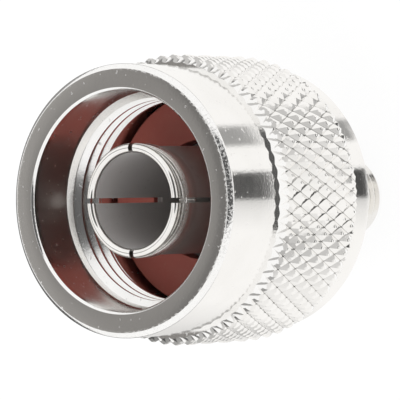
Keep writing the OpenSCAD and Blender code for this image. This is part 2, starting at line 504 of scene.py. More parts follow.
class KnurlTree(ShapeTree):
    """A closed band of pyramids between two families of crossed grooves.

    Its rows of pyramids get lower and its grooves shallower over the end bevels.
    """

    def __init__(self) -> None:
        """Starts the tree with its sizes."""
        super().__init__(
            "knurl",
            {"Grooves": 62, "Rows": 9, "Steps": 4, "Top Height": 0.02, "Length": 0.01,
             "Root Radius": 0.0103, "Crest Radius": 0.0108, "Inner Radius": 0.009,
             "End Radius": 0.0101, "End Height": 0.00013, "End Bevel": 0.0006, "Flat Top": 0.1},
        )

    def build(self) -> None:
        """A flat grid, cut along the grooves' diagonals, then wrapped on the nut and closed."""
        steps, rows, length = self.given["Steps"], self.given["Rows"], self.given["Length"]
        columns = self.given["Grooves"] * 2
        last = rows * steps + 1  # the pyramids' last line of corners, where line 0 is the inner wall's
        grid = self.node(
            "GeometryNodeMeshGrid",
            sockets={
                "Size X": 1.0,
                "Size Y": 1.0,
                "Vertices X": columns * steps + 1,
                "Vertices Y": last + 3,
            },
        )["Mesh"]
        x, y, _ = self.parts(self.node("GeometryNodeInputPosition")[0])
        across = (x + 0.5) * columns
        line = (y + 0.5) * (last + 2)
        down = (line - 1.0) / steps
        even = ((across.floor() + down.floor()) % 2) < 0.5
        for chosen, method in ((even, "FIXED"), (True, "FIXED_ALTERNATE")):
            grid = self.node(
                "GeometryNodeTriangulate", {"quad_method": method}, {"Mesh": grid, "Selection": chosen}
            )[0]
        row = (line + 0.5).floor()
        band = (row > 0.5) * (row < last + 0.5)
        depth = down.most(0.0).least(rows) / rows * length * (row < last + 1.5)
        peak = ((across + down) * 0.5).wave().least(((across - down) * 0.5).wave())
        peak = (peak / (1.0 - self.given["Flat Top"])).least(1.0)
        inner, root, crest = (self.given[f"{label} Radius"] for label in ("Inner", "Root", "Crest"))
        end_root, end_height = self.given["End Radius"], self.given["End Height"]
        short = 1.0 - (depth.least(length - depth) / self.given["End Bevel"]).least(1.0)
        low = root - short * (root - end_root)
        high = crest - short * (crest - end_root - end_height)
        radius = inner + band * (low + peak * (high - low) - inner)
        angle = across / columns * math.tau
        place = self.vector(
            radius * self.maths("COSINE", angle),
            radius * self.maths("SINE", angle),
            self.given["Top Height"] - depth,
        )
        wrapped = self.node(
            "GeometryNodeSetPosition", sockets={"Geometry": grid, "Position": place}
        )[0]
        self.close(self.welded(wrapped))


# ------------------------------------------------------------------ mesh work


def flatten(made: bpy.types.Object) -> bpy.types.Mesh:
    """Turns an object's modifiers into its mesh.

    Args:
        made: An object with modifiers.

    Returns:
        Its new, plain mesh.
    """
    shown = made.evaluated_get(bpy.context.evaluated_depsgraph_get())
    mesh = bpy.data.meshes.new_from_object(shown)
    made.modifiers.clear()
    made.data = mesh
    mesh.name = made.name
    return mesh


def settle(made: bpy.types.Object) -> bpy.types.Object:
    """Turns an object's modifiers into its mesh, with faces pointing outwards.

    Args:
        made: A closed solid with modifiers.

    Returns:
        The same object, with a plain mesh.
    """
    mesh = flatten(made)
    work = bmesh.new()
    work.from_mesh(mesh)
    bmesh.ops.recalc_face_normals(work, faces=work.faces)
    if work.calc_volume(signed=True) < 0:
        bmesh.ops.reverse_faces(work, faces=work.faces)
    work.to_mesh(mesh)
    work.free()
    return made


def section_mesh(name: str, section: Section, centre: float, closed: bool) -> bpy.types.Mesh:
    """A half section as a line mesh, with the round of each corner as an attribute.

    Args:
        name: The mesh's name.
        section: Corners as (radius, depth, round), in millimetres.
        centre: Radius that the section is swept at, in millimetres.
        closed: Whether the last corner joins the first.

    Returns:
        The mesh, in metres.
    """
    mesh = bpy.data.meshes.new(name)
    count = len(section)
    places = [((radius - centre) * MM, depth * MM, 0.0) for radius, depth, _ in section]
    lines = [(i, (i + 1) % count) for i in range(count if closed else count - 1)]
    mesh.from_pydata(places, lines, [])
    rounds = mesh.attributes.new("round", "FLOAT", "POINT")
    rounds.data.foreach_set("value", [size * MM for _, _, size in section])
    return mesh


def combine(
    target: bpy.types.Object, tool: bpy.types.Object, operation: Operation
) -> bpy.types.Object:
    """Cuts or joins a solid with a tool solid, which is used up.

    Args:
        target: The solid that is kept.
        tool: The solid that changes it.
        operation: Cut or join.

    Returns:
        The target, with a plain mesh.
    """
    modifier = target.modifiers.new("tool", "BOOLEAN")
    modifier.solver = "MANIFOLD"
    modifier.operation = operation.value
    modifier.object = tool
    settle(target)
    bpy.data.objects.remove(tool)
    if not target.data.polygons:
        raise ValueError(f"{target.name}: nothing is left after {operation.name.lower()}")
    return target


def smooth(made: bpy.types.Object, crease: float = 32.0) -> bpy.types.Object:
    """Smooth shading that keeps wide faces flat.

    Args:
        made: The solid to shade.
        crease: Angle in degrees from which an edge stays sharp.

    Returns:
        The same object.
    """
    made.data.shade_smooth()
    made.data.set_sharp_from_angle(angle=math.radians(crease))
    weights = made.modifiers.new("weights", "WEIGHTED_NORMAL")
    weights.keep_sharp = True
    flatten(made)
    return made


@dataclass
class Workshop:
    """The trees that the pieces are made with, and the height that depths are measured from."""

    rim: float
    turning: TurningTree = field(default_factory=TurningTree)
    helix: HelixTree = field(default_factory=HelixTree)
    saw: SawTree = field(default_factory=SawTree)
    knurl: KnurlTree = field(default_factory=KnurlTree)

    def turn(
        self, node: str, section: Section, material: bpy.types.Material, segments: int = 128
    ) -> bpy.types.Object:
        """Turns a solid from its half section.

        Args:
            node: The CAD node that it stands for.
            section: Its corners. It is left open where it starts and ends on the axis.
            material: Its finish.
            segments: Flats round the axis.

        Returns:
            The finished solid's object.
        """
        closed = section[0][0] > 0 or section[-1][0] > 0
        start = section_mesh(node, section, LATHE_CENTRE, closed)
        return self.turning.grow(
            f"{node}_finished", material, start, Rim_Height=self.rim, Segments=segments
        )

    def cut_thread(
        self, made: bpy.types.Object, tooth: Section, pitch: float, first: float, last: float
    ) -> bpy.types.Object:
        """Cuts a right-handed thread between two depths.

        Args:
            made: The solid to cut.
            tooth: The groove's section as (radius, offset along the axis, 0).
            pitch: Distance from one turn to the next.
            first: Depth of the end nearest the rim.
            last: Depth of the other end.

        Returns:
            The threaded solid.
        """
        centre = tooth[0][0]
        turns = (last - first) / pitch
        cutter = self.helix.grow(
            "thread_cutter", made.data.materials[0], section_mesh("tooth", tooth, centre, True),
            Radius=centre * MM, Pitch=pitch * MM, Turns=turns, Base_Height=self.rim - last * MM,
        )
        return combine(made, cutter, Operation.CUT)

    def hand_over(
        self, made: bpy.types.Object, node: str, body: str, slot: Slot
    ) -> bpy.types.Object:
        """Gives a finished piece to the frame.

        Args:
            made: The finished piece.
            node: The CAD node that it stands for.
            body: The body that it rides on.
            slot: The material slot of its finish; not used.

        Returns:
            The piece.
        """
        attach(made, body)
        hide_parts(node)
        triangles = sum(len(p.vertices) - 2 for p in made.data.polygons)
        LOG.info("%s rides on %s, %d triangles", made.name, body, triangles)
        return made


# ------------------------------------------------------------------ finishes


class FinishSheet(NodeSheet):
    """The shader tree of one finish."""

    def __init__(self, name: str) -> None:
        """Starts a material with an empty tree.

        Args:
            name: The material's name.
        """
        self.material = bpy.data.materials.new(name)
        super().__init__(bare_tree(self.material))
        self.place = self.node("ShaderNodeTexCoord")["Object"]
        self.x, self.y, self.z = self.parts(self.place)
        self.radius = (self.x * self.x + self.y * self.y) ** 0.5

    def noise(self, scale: float, detail: float = 2.0, where: Optional[Wire] = None) -> Wire:
        """Smooth noise.

        Args:
            scale: Spots in a metre.
            detail: Layers of finer noise.
            where: The place to read it at, or None for the piece's own place.

        Returns:
            The noise, from 0 to 1.
        """
        return self.node(
            "ShaderNodeTexNoise",
            sockets={"Vector": where or self.place, "Scale": scale, "Detail": detail},
        )["Fac"]

    def close(
        self, colour: Wire, roughness: Wire, height: Wire, relief: float, **constants: Value
    ) -> bpy.types.Material:
        """Ends the sheet in one surface.

        Args:
            colour: Base colour.
            roughness: Roughness.
            height: Relief, from 0 to 1.
            relief: Height of that relief in metres.
            constants: Other sockets of the surface, with underscores for spaces.

        Returns:
            The material.
        """
        bump = self.node(
            "ShaderNodeBump", sockets={"Strength": 1.0, "Distance": relief, "Height": height}
        )["Normal"]
        sockets = {"Base Color": colour, "Roughness": roughness, "Normal": bump}
        sockets.update({key.replace("_", " "): value for key, value in constants.items()})
        surface = self.node("ShaderNodeBsdfPrincipled", sockets=sockets)[0]
        self.node("ShaderNodeOutputMaterial", sockets={"Surface": surface})
        return self.material


@dataclass(frozen=True)
class PlatedMetal:
    """Bright plate over a turned part: fine turning rings, soft clouding and small nicks.

    The ring pitch and the relief are millimetres, and a scale is spots in a metre.
    """

    name: str
    tint: Colour
    dull: Colour
    roughness: float = 0.05
    ring_pitch: float = 0.12
    relief: float = 0.006
    rings: float = 1.0
    nicks: float = 0.35
    cloud_scale: float = 320.0
    grain_scale: float = 5200.0
    nick_scale: float = 2600.0
    nick_edge: Pair = (0.66, 0.74)

    def sheet(self) -> tuple[FinishSheet, Wire, Wire, Wire]:
        """Lays out what all plated surfaces share.

        Returns:
            The sheet, its colour, its roughness and its relief.
        """
        sheet = FinishSheet(self.name)
        along = sheet.vector(sheet.radius, 0.0, sheet.z)
        rings = sheet.noise(1.0 / (self.ring_pitch * MM), 1.0, along) * self.rings
        cloud = sheet.noise(self.cloud_scale, 3.0)
        grain = sheet.noise(self.grain_scale, 1.0)
        spots = sheet.noise(self.nick_scale, 2.0).ramp(*self.nick_edge)
        colour = sheet.mix(cloud.ramp(0.35, 0.75) * 0.7 + grain * 0.2, self.tint, self.dull)
        roughness = self.roughness + cloud * 0.06 + rings * 0.05 + spots * 0.2
        height = rings * 0.1 + grain * 0.45 - spots * self.nicks
        return sheet, colour, roughness, height

    def material(self) -> bpy.types.Material:
        """Builds the finish."""
        sheet, colour, roughness, height = self.sheet()
        return sheet.close(colour, roughness, height, self.relief * MM, Metallic=1.0)


@dataclass(frozen=True)
class TubePlate(PlatedMetal):
    """The slotted tube's plate: bright at the lip, rougher and with painted shade on the stem, and
    very rough with painted shade in the bore.

    An edge is where the finish starts to change and where it has changed, in millimetres.
    """

    # Painted shade: the stem's plate is drawn darker than the lip's.
    stem_shade_colour: Colour = (0.42, 0.4, 0.385)
    stem_haze: float = 0.5
    stem_edge: Pair = (-1.5, 0.5)
    # Painted shade: the bore's plate is drawn darker than the lip's.
    bore_shade_colour: Colour = (0.72, 0.7, 0.69)
    bore_haze: float = 0.8
    bore_edge: Pair = (0.1, 0.22)
    tip_edge: Pair = (0.2, 0.5)

    def tube(self, rim: float, lip: Pair, bore: float) -> bpy.types.Material:
        """Builds the finish for a tube in a given place.

        Args:
            rim: Height that depths are measured from, in metres.
            lip: Depths of the lip's front and rear, in millimetres.
            bore: Radius of the bore, in millimetres.

        Returns:
            The material.
        """
        sheet, colour, roughness, height = self.sheet()
        depth = (rim - sheet.z) / MM
        wall = [(bore + edge) * MM for edge in self.bore_edge]
        inside = sheet.radius.ramp(*wall, 1.0, 0.0)
        inside = inside * depth.ramp(*(lip[0] + edge for edge in self.tip_edge))
        stem = depth.ramp(*(lip[1] + edge for edge in self.stem_edge)) * (1.0 - inside)
        # Painted shade darkens the stem and the bore, on top of their extra roughness.
        colour = sheet.mix(stem, colour, self.stem_shade_colour)
        colour = sheet.mix(inside, colour, self.bore_shade_colour)
        roughness = roughness + stem * self.stem_haze + inside * self.bore_haze
        return sheet.close(colour, roughness, height, self.relief * MM, Metallic=1.0)


@dataclass(frozen=True)
class KnurledPlate(PlatedMetal):
    """The nut's plate: grimy, with painted shade, at the bottom of the knurl's grooves, with burrs
    round the rim.

    Each dark groove line, part soiling and part painted shade, has its half width, as a share of a
    pyramid, and its strength. Radii, depths behind the rim and the burrs' edge across the axis are
    millimetres.
    """

    grooves: int = 62
    rows: int = 9
    # Near-black colour of the grooves' soiling and painted shade.
    groove_grime_and_shade_colour: Colour = (0.1, 0.095, 0.085)
    first_line: Pair = (0.09, 0.55)
    second_line: Pair = (0.1, 0.08)
    crossing: Pair = (0.12, 1.1)
    crossing_edge: Pair = (0.08, 0.4)
    patch_scale: float = 900.0
    mouth_radii: Pair = (8.3, 8.5)
    mouth_depths: Pair = (0.3, 0.8)
    burr_radii: Pair = (9.42, 9.62)
    burr_depth: float = 0.4
    burr_side: Pair = (-3.0, 2.0)
    burr_scale: float = 5600.0

    def groove_grime_and_shade(self, sheet: FinishSheet, top: float, length: float, root: float) -> Wire:
        """Grime and painted shade along the grooves, thickest where two of them cross.

        Args:
            sheet: The sheet of the finish.
            top: Height of the knurl's front end, in metres.
            length: Its length, in metres.
            root: Radius of its grooves' bottoms, in metres.

        Returns:
            The share of soiling and painted shade, from 0 to 1.
        """
        across = sheet.maths("ARCTAN2", sheet.y, sheet.x) / math.tau * (2 * self.grooves)
        down = (top - sheet.z) * (self.rows / length)
        one, other = ((across + down) * 0.5).wave(), ((across - down) * 0.5).wave()
        inside = (sheet.radius > root - 0.05 * MM) * (sheet.z < top - 0.02 * MM)
        inside = inside * (sheet.z > top - length)
        # Painted shade: one family of grooves is drawn far darker than the other, and the pits where
        # they cross darker still.
        line = one.least(other).ramp(0.0, self.crossing[0], 1.0, 0.0)
        pit = one.most(other).ramp(*self.crossing_edge, 1.0, 0.0)
        lines = one.ramp(0.0, *self.first_line, 0.0) + other.ramp(0.0, *self.second_line, 0.0)
        patchy = sheet.noise(self.patch_scale, 2.0).ramp(0.3, 0.7, 0.45, 1.0)
        return (lines + line * pit * self.crossing[1]).least(1.0) * inside * patchy

    def burr(self, sheet: FinishSheet, rim: float) -> Wire:
        """Rough specks on the rim's outer edge, most of them at the -Y side.

        Args:
            sheet: The sheet of the finish.
            rim: Height of the rim, in metres.

        Returns:
            The specks, from 0 to 1.
        """
        edge = sheet.radius.ramp(*(radius * MM for radius in self.burr_radii))
        side = sheet.y.ramp(*(place * MM for place in self.burr_side), 1.0, 0.25)
        edge = edge * (sheet.z > rim - self.burr_depth * MM) * side
        return sheet.noise(self.burr_scale, 3.0).ramp(0.5, 0.6) * edge

    def knurled(self, rim: float, knurl: Pair, root: float) -> bpy.types.Material:
        """Builds the finish for a nut with its knurl in a given place.

        Args:
            rim: Height that depths are measured from, in metres.
            knurl: Depths of the knurl's front and rear, in millimetres.
            root: Radius of its grooves' bottoms, in millimetres.

        Returns:
            The material.
        """
        sheet, colour, roughness, height = self.sheet()
        start, end = knurl
        # The grooves are darkened with soiling and painted shade.
        groove_grime_and_shade = self.groove_grime_and_shade(sheet, rim - start * MM, (end - start) * MM, root * MM)
        colour = sheet.mix(groove_grime_and_shade, colour, self.groove_grime_and_shade_colour)
        deep, shallow = (rim - depth * MM for depth in reversed(self.mouth_depths))
        within = sheet.radius.ramp(*(radius * MM for radius in self.mouth_radii), 1.0, 0.0)
        within = within * sheet.z.ramp(deep, shallow, 1.0, 0.0)
        burr = self.burr(sheet, rim)
        roughness = roughness + groove_grime_and_shade * 0.35 + within * 0.1 + burr * 0.25
        return sheet.close(colour, roughness, height - burr * 0.5, self.relief * MM, Metallic=1.0)


@dataclass(frozen=True)
class Moulded:
    """Moulded rubber or plastic: matte, with a fine grain and a little dust."""

    name: str
    colour: Colour
    dust: Colour
    roughness: float = 0.52
    relief: float = 0.004

    def material(self) -> bpy.types.Material:
        """Builds the finish."""
        sheet = FinishSheet(self.name)
        grain = sheet.noise(4200.0, 3.0)
        cloud = sheet.noise(420.0, 2.0)
        dusty = grain.ramp(0.58, 0.8) * 0.18 + cloud.ramp(0.45, 0.8) * 0.12
        colour = sheet.mix(dusty, self.colour, self.dust)
        roughness = self.roughness + cloud * 0.12 + grain * 0.06
        return sheet.close(colour, roughness, grain, self.relief * MM, Specular_IOR_Level=0.35)


@dataclass(frozen=True)
class Ptfe:
    """Turned PTFE: waxy white with faint tool rings."""

    name: str
    colour: Colour
    shade: Colour

    def material(self) -> bpy.types.Material:
        """Builds the finish."""
        sheet = FinishSheet(self.name)
        rings = sheet.noise(9000.0, 1.0, sheet.vector(sheet.radius, 0.0, sheet.z))
        cloud = sheet.noise(700.0, 2.0)
        colour = sheet.mix(cloud.ramp(0.3, 0.8) * 0.6 + rings * 0.3, self.colour, self.shade)
        return sheet.close(
            colour, 0.36 + rings * 0.14, rings, 0.004 * MM,
            Subsurface_Weight=0.15, Subsurface_Scale=0.0006,
        )


# ------------------------------------------------------------------ pieces


@dataclass
class CouplingNut:
    """The knurled nut: mouth, coupling thread and gasket relief inside, knurl outside."""

    shop: Workshop
    finish: KnurledPlate
    flats_per_groove: int = 4
    collar: float = 10.0
    rim_bevel: float = 0.36
    rim_fall: float = 0.05
    mouth: float = 8.075
    mouth_bevel: float = 0.17
    mouth_depth: float = 4.0
    crest: float = 7.42
    thread_root: float = 7.94
    thread_start: float = 4.655
    thread_end: float = 7.505
    thread_cut: Pair = (4.1, 8.0)
    thread_flank: float = 33.0
    root_half: float = 0.08
    pitch: float = 25.4 / 24
    relief: float = 8.3
    relief_start: float = 8.385
    shoulder: float = 13.29
    bore: float = 6.58
    bore_bevel: float = 0.15
    groove: Triple = (7.3, 14.63, 15.65)
    knurl_start: float = 5.7
    knurl_end: float = 15.6
    knurl_root: float = 10.5
    knurl_edge: float = 10.12
    length: float = 17.9

    def section(self) -> Section:
        """The nut's half section, without its knurl and thread.

        Returns:
            Its corners.
        """
        groove, front, rear = self.groove
        return [
            (self.collar - self.rim_bevel, self.rim_fall, 0.12),
            (self.collar, self.rim_bevel, 0.12),
            (self.collar, self.length - self.rim_bevel, 0.1),
            (self.collar - self.rim_bevel, self.length, 0.08),
            (self.bore + self.bore_bevel, self.length, 0.03),
            (self.bore, self.length - self.bore_bevel, 0.03), (self.bore, rear, 0.0),
            (groove, rear, 0.0), (groove, front, 0.0), (self.bore, front, 0.0),
            (self.bore, self.shoulder, 0.03), (self.relief, self.shoulder, 0.12),
            (self.relief, self.relief_start, 0.05), (self.crest, self.thread_end, 0.03),
            (self.crest, self.thread_start, 0.05), (self.mouth, self.mouth_depth, 0.12),
            (self.mouth, self.mouth_bevel, 0.05), (self.mouth + self.mouth_bevel, 0.0, 0.05),
        ]

    def tooth(self) -> Section:
        """Section of the coupling thread's groove, from inside the bore out to its root.

        Returns:
            Its corners.
        """
        inner, root = self.groove[0], self.thread_root
        half = (root - inner) * math.tan(math.radians(self.thread_flank)) + self.root_half
        return [(inner, -half, 0.0), (inner, half, 0.0), (root, self.root_half, 0.0),
                (root, -self.root_half, 0.0)]

    def build(self) -> bpy.types.Object:
        """Turns the blank, joins the knurl, cuts the thread and dresses the nut.

        Returns:
            The finished nut.
        """
        rim = self.shop.rim
        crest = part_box("coupling_nut")[1].x
        knurl = (self.knurl_start, self.knurl_end)
        material = self.finish.knurled(rim, knurl, self.knurl_root)
        flats = self.finish.grooves * self.flats_per_groove
        nut = self.shop.turn("coupling_nut", self.section(), material, flats)
        band = self.shop.knurl.grow(
            "knurl_band", material, None, Grooves=self.finish.grooves, Rows=self.finish.rows,
            Top_Height=rim - self.knurl_start * MM,
            Length=(self.knurl_end - self.knurl_start) * MM,
            Root_Radius=self.knurl_root * MM, Crest_Radius=crest,
            Inner_Radius=(self.collar + self.relief) / 2 * MM, End_Radius=self.knurl_edge * MM,
        )
        combine(nut, band, Operation.JOIN)
        self.shop.cut_thread(nut, self.tooth(), self.pitch, *self.thread_cut)
        smooth(nut, 24.0)
        return self.shop.hand_over(nut, "coupling_nut", "nut", Slot.NUT)


@dataclass
class PlugFront:
    """What stands in the nut: outer contact, face gasket, front body, bead and pin."""

    shop: Workshop
    contact_finish: TubePlate
    body_finish: PlatedMetal
    gasket_finish: Moulded
    bead_finish: Moulded
    contact_bore: float = 3.52
    lip: float = 4.2
    stem: float = 4.0
    tip: float = 1.3
    tip_round: float = 0.33
    lip_length: float = 2.1
    lip_round: float = 0.5
    slot_width: float = 0.38
    slot_radii: Pair = (2.5, 5.5)
    slot_rise: float = 0.1
    fingers: int = 4
    gasket_front: float = 10.0
    gasket_radii: Pair = (4.45, 8.0)
    flange_front: float = 11.5
    collar: Pair = (4.9, 13.5)
    flange: Pair = (7.22, 12.95)
    flange_bevel: float = 0.15
    barrel: float = 6.5
    barrel_end: float = 18.6
    barrel_bevel: float = 0.3
    ring_groove: Triple = (5.82, 14.33, 15.57)
    shank: float = 4.5
    shank_front: float = 15.0
    bead_front: float = 12.7
    pin_point: float = 7.7
    pin: float = 0.8
    pin_face: float = 0.36
    pin_taper: float = 0.55
    shoulder: Pair = (1.52, 11.7)
    neck: float = 1.05
    spigot: Pair = (0.4, 13.6)

    def outer_contact(self) -> bpy.types.Object:
        """Turns the tube and saws it into spring fingers.

        Returns:
            The finished piece.
        """
        lip_end = self.tip + self.lip_length
        slope = self.lip - self.stem
        section = [
            (self.contact_bore, self.collar[1], 0.0),
            (self.contact_bore, self.tip, self.tip_round), (self.lip, self.tip, self.tip_round),
            (self.lip, lip_end - self.lip_round, self.lip_round),
            (self.stem, lip_end + slope + self.lip_round, self.lip_round),
            (self.stem, self.flange_front, 0.0), (self.collar[0], self.flange_front, 0.05),
            (self.collar[0], self.collar[1], 0.0),
        ]
        rim = self.shop.rim
        material = self.contact_finish.tube(rim, (self.tip, lip_end), self.contact_bore)
        made = self.shop.turn("outer_contact", section, material, 160)
        inner, outer = self.slot_radii
        blades = self.shop.saw.grow(
            "contact_blades", material, None, Cuts=self.fingers, Inner_Radius=inner * MM,
            Outer_Radius=outer * MM, Width=self.slot_width * MM,
            Bottom_Height=rim - (self.gasket_front - self.slot_rise) * MM, Top_Height=rim,
        )
        combine(made, blades, Operation.CUT)
        smooth(made)
        return self.shop.hand_over(made, "outer_contact", "core", Slot.CONTACT)

    def face_gasket(self) -> bpy.types.Object:
        """Turns the flat silicone washer.

        Returns:
            The finished piece.
        """
        inner, outer = self.gasket_radii
        section = [
            (inner, self.gasket_front, 0.08), (outer, self.gasket_front, 0.2),
            (outer, self.flange_front, 0.2), (inner, self.flange_front, 0.08),
        ]
        made = smooth(self.shop.turn("face_gasket", section, self.gasket_finish.material()))
        return self.shop.hand_over(made, "face_gasket", "core", Slot.SILICONE)

    def front_body(self) -> bpy.types.Object:
        """Turns the flange and the barrel that the nut turns on.

        Returns:
            The finished piece.
        """
        flange, flange_end = self.flange
        groove, front, rear = self.ring_groove
        section = [
            (self.collar[0], self.flange_front, 0.0),
            (flange - self.flange_bevel, self.flange_front, 0.04),
            (flange, self.flange_front + self.flange_bevel, 0.04), (flange, flange_end, 0.08),
            (self.barrel, flange_end, 0.03), (self.barrel, front, 0.04), (groove, front, 0.0),
            (groove, rear, 0.0), (self.barrel, rear, 0.04),
            (self.barrel, self.barrel_end - self.barrel_bevel, 0.1),
            (self.barrel - self.barrel_bevel, self.barrel_end, 0.08),
            (self.shank, self.barrel_end, 0.0),
            (self.shank, self.shank_front, 0.0), (self.contact_bore, self.shank_front, 0.0),
            (self.contact_bore, self.collar[1], 0.0), (self.collar[0], self.collar[1], 0.0),
        ]
        made = smooth(self.shop.turn("front_body", section, self.body_finish.material(), 160))
        return self.shop.hand_over(made, "front_body", "core", Slot.BODY)

    def pin_bead(self) -> bpy.types.Object:
        """Turns the bead that carries the pin.

        Returns:
            The finished piece.
        """
        section = [
            (self.neck, self.bead_front, 0.0), (self.contact_bore, self.bead_front, 0.06),
            (self.contact_bore, self.shank_front, 0.0), (self.neck, self.shank_front, 0.0),
        ]
        made = smooth(self.shop.turn("pin_bead", section, self.bead_finish.material(), 96))
        return self.shop.hand_over(made, "pin_bead", "core", Slot.BEAD)

    def centre_pin(self) -> bpy.types.Object:
        """Turns the pin, its shoulder and its neck.

        Returns:
            The finished piece.
        """
        spigot, spigot_end = self.spigot
        section = [
            (0.0, self.pin_point, 0.0), (self.pin_face, self.pin_point, 0.1),
            (self.pin, self.pin_point + self.pin_taper, 0.3), (self.pin, self.shoulder[1], 0.05),
            (self.shoulder[0], self.shoulder[1], 0.08), (self.shoulder[0], self.bead_front, 0.0),
            (self.neck, self.bead_front, 0.0), (self.neck, self.shank_front, 0.0),
            (spigot, self.shank_front, 0.0), (spigot, spigot_end, 0.0), (0.0, spigot_end, 0.0),
        ]
        made = smooth(self.shop.turn("centre_pin", section, self.contact_finish.material(), 64))
        return self.shop.hand_over(made, "centre_pin", "core", Slot.CONTACT)

    def build(self) -> list[bpy.types.Object]:
        """Builds the plug's pieces, from the outside in.

        Returns:
            The finished pieces.
        """
        return [self.outer_contact(), self.face_gasket(), self.front_body(), self.pin_bead(),
                self.centre_pin()]


@dataclass
class SnapRing:
    """The flat C that holds the nut on its barrel."""

    shop: Workshop
    finish: PlatedMetal
    radii: Pair = (5.9, 7.0)
    depths: Pair = (14.65, 15.55)
    gap: float = 1.4
    blade_radii: Pair = (3.0, 9.0)
    overcut: float = 0.5

    def build(self) -> bpy.types.Object:
        """Turns the ring and opens it on +X.

        Returns:
            The finished piece.
        """
        inner, outer = self.radii
        front, rear = self.depths
        corners = ((outer, front), (outer, rear), (inner, rear), (inner, front))
        section = [(radius, depth, 0.08) for radius, depth in corners]
        made = self.shop.turn("snap_ring", section, self.finish.material())
        rim = self.shop.rim
        blade = self.shop.saw.grow(
            "ring_blade", made.data.materials[0], None, Cuts=1,
            Inner_Radius=self.blade_radii[0] * MM, Outer_Radius=self.blade_radii[1] * MM,
            Width=self.gap * MM, Bottom_Height=rim - (rear + self.overcut) * MM,
            Top_Height=rim - (front - self.overcut) * MM,
        )
        smooth(combine(made, blade, Operation.CUT))
        return self.shop.hand_over(made, "snap_ring", "ring", Slot.SPRING)


@dataclass
class Jack:
    """The small threaded jack: shell, insulator and sawn centre contact.

    Its shell is pressed into the plug's barrel, and its contact's spigot into the plug's pin.
    """

    shop: Workshop
    plug: PlugFront
    shell_finish: PlatedMetal
    insulator_finish: Ptfe
    contact_finish: PlatedMetal
    neck: float = 4.8
    neck_end: float = 23.0
    flats: float = 8.0
    mill_radius: float = 9.0
    mill_width: float = 20.0
    mill_overcut: float = 0.01
    major: float = 3.175
    minor: float = 2.75
    pitch: float = 25.4 / 36
    flank: float = 30.0
    root_half: float = 0.0635
    tooth_over: float = 0.12
    thread_over: float = 0.5
    runout: float = 0.45
    end_bevel: float = 0.3
    mouth: float = 2.31
    mouth_bevel: float = 0.15
    mouth_depth: float = 1.9
    insulator_radius: float = 2.05
    contact: float = 0.635
    contact_bore: float = 0.47
    contact_depth: float = 2.9
    slot_radii: Pair = (0.3, 1.0)
    slot_width: float = 0.2
    slot_overcut: float = 0.5

    @property
    def end(self) -> float:
        """Depth of the end face, which stands on the floor."""
        return self.shop.rim / MM

    def tooth(self) -> Section:
        """Section of the jack thread's groove, from its root out past the crest.

        Returns:
            Its corners.
        """
        outer = self.major + self.tooth_over
        half = self.root_half + (outer - self.minor) * math.tan(math.radians(self.flank))
        return [(self.minor, -self.root_half, 0.0), (self.minor, self.root_half, 0.0),
                (outer, half, 0.0), (outer, -half, 0.0)]

    def shell(self) -> bpy.types.Object:
        """Turns the shell, mills its wrench flats and cuts its thread.

        Returns:
            The finished piece.
        """
        shank, front, barrel_end = self.plug.shank, self.plug.shank_front, self.plug.barrel_end
        section = [
            (self.insulator_radius, front, 0.0), (shank, front, 0.0), (shank, barrel_end, 0.0),
            (self.neck, barrel_end, 0.05), (self.neck, self.neck_end, 0.12),
            (self.major - self.runout, self.neck_end, 0.1),
            (self.major - self.runout, self.neck_end + self.runout, 0.1),
            (self.major, self.neck_end + 2 * self.runout, 0.05),
            (self.major, self.end - self.end_bevel, 0.05),
            (self.major - self.end_bevel, self.end, 0.05),
            (self.mouth + self.mouth_bevel, self.end, 0.04),
            (self.mouth, self.end - self.mouth_bevel, 0.04),
            (self.mouth, self.end - self.mouth_depth, 0.03),
            (self.insulator_radius, self.end - self.mouth_depth, 0.0),
        ]
        made = self.shop.turn("jack_shell", section, self.shell_finish.material(), 144)
        rim = self.shop.rim
        mill = self.shop.saw.grow(
            "flat_mill", made.data.materials[0], None, Cuts=2, Inner_Radius=self.flats / 2 * MM,
            Outer_Radius=self.mill_radius * MM, Width=self.mill_width * MM,
            Bottom_Height=rim - (self.neck_end + self.mill_overcut) * MM,
            Top_Height=rim - barrel_end * MM,
        )
        combine(made, mill, Operation.CUT)
        first, last = self.neck_end + self.runout, self.end + self.thread_over
        self.shop.cut_thread(made, self.tooth(), self.pitch, first, last)
        smooth(made, 28.0)
        return self.shop.hand_over(made, "jack_shell", "core", Slot.BODY)

    def insulator(self) -> bpy.types.Object:
        """Turns the bush round the centre contact.

        Returns:
            The finished piece.
        """
        front, face = self.plug.shank_front, self.end - self.mouth_depth
        section = [
            (self.contact, front, 0.0), (self.insulator_radius, front, 0.0),
            (self.insulator_radius, face, 0.05), (self.contact, face, 0.0),
        ]
        finish = self.insulator_finish.material()
        made = smooth(self.shop.turn("jack_insulator", section, finish, 96))
        return self.shop.hand_over(made, "jack_insulator", "core", Slot.INSULATOR)

    def socket(self) -> bpy.types.Object:
        """Turns the centre contact, bores it and saws it open.

        Returns:
            The finished piece.
        """
        front, face = self.plug.shank_front, self.end - self.mouth_depth
        start = face - self.contact_depth
        spigot, spigot_end = self.plug.spigot
        section = [
            (0.0, spigot_end, 0.0), (spigot, spigot_end, 0.0), (spigot, front, 0.0),
            (self.contact, front, 0.0), (self.contact, face, 0.06),
            (self.contact_bore, face, 0.05), (self.contact_bore, start, 0.0), (0.0, start, 0.0),
        ]
        made = self.shop.turn("socket_contact", section, self.contact_finish.material(), 64)
        rim = self.shop.rim
        blade = self.shop.saw.grow(
            "socket_blade", made.data.materials[0], None, Cuts=2,
            Inner_Radius=self.slot_radii[0] * MM, Outer_Radius=self.slot_radii[1] * MM,
            Width=self.slot_width * MM, Bottom_Height=rim - (face + self.slot_overcut) * MM,
            Top_Height=rim - start * MM,
        )
        smooth(combine(made, blade, Operation.CUT))
        return self.shop.hand_over(made, "socket_contact", "core", Slot.GOLD)

    def build(self) -> list[bpy.types.Object]:
        """Builds the jack's pieces.

        Returns:
            The finished pieces.
        """
        return [self.shell(), self.insulator(), self.socket()]


# ------------------------------------------------------------------ studio


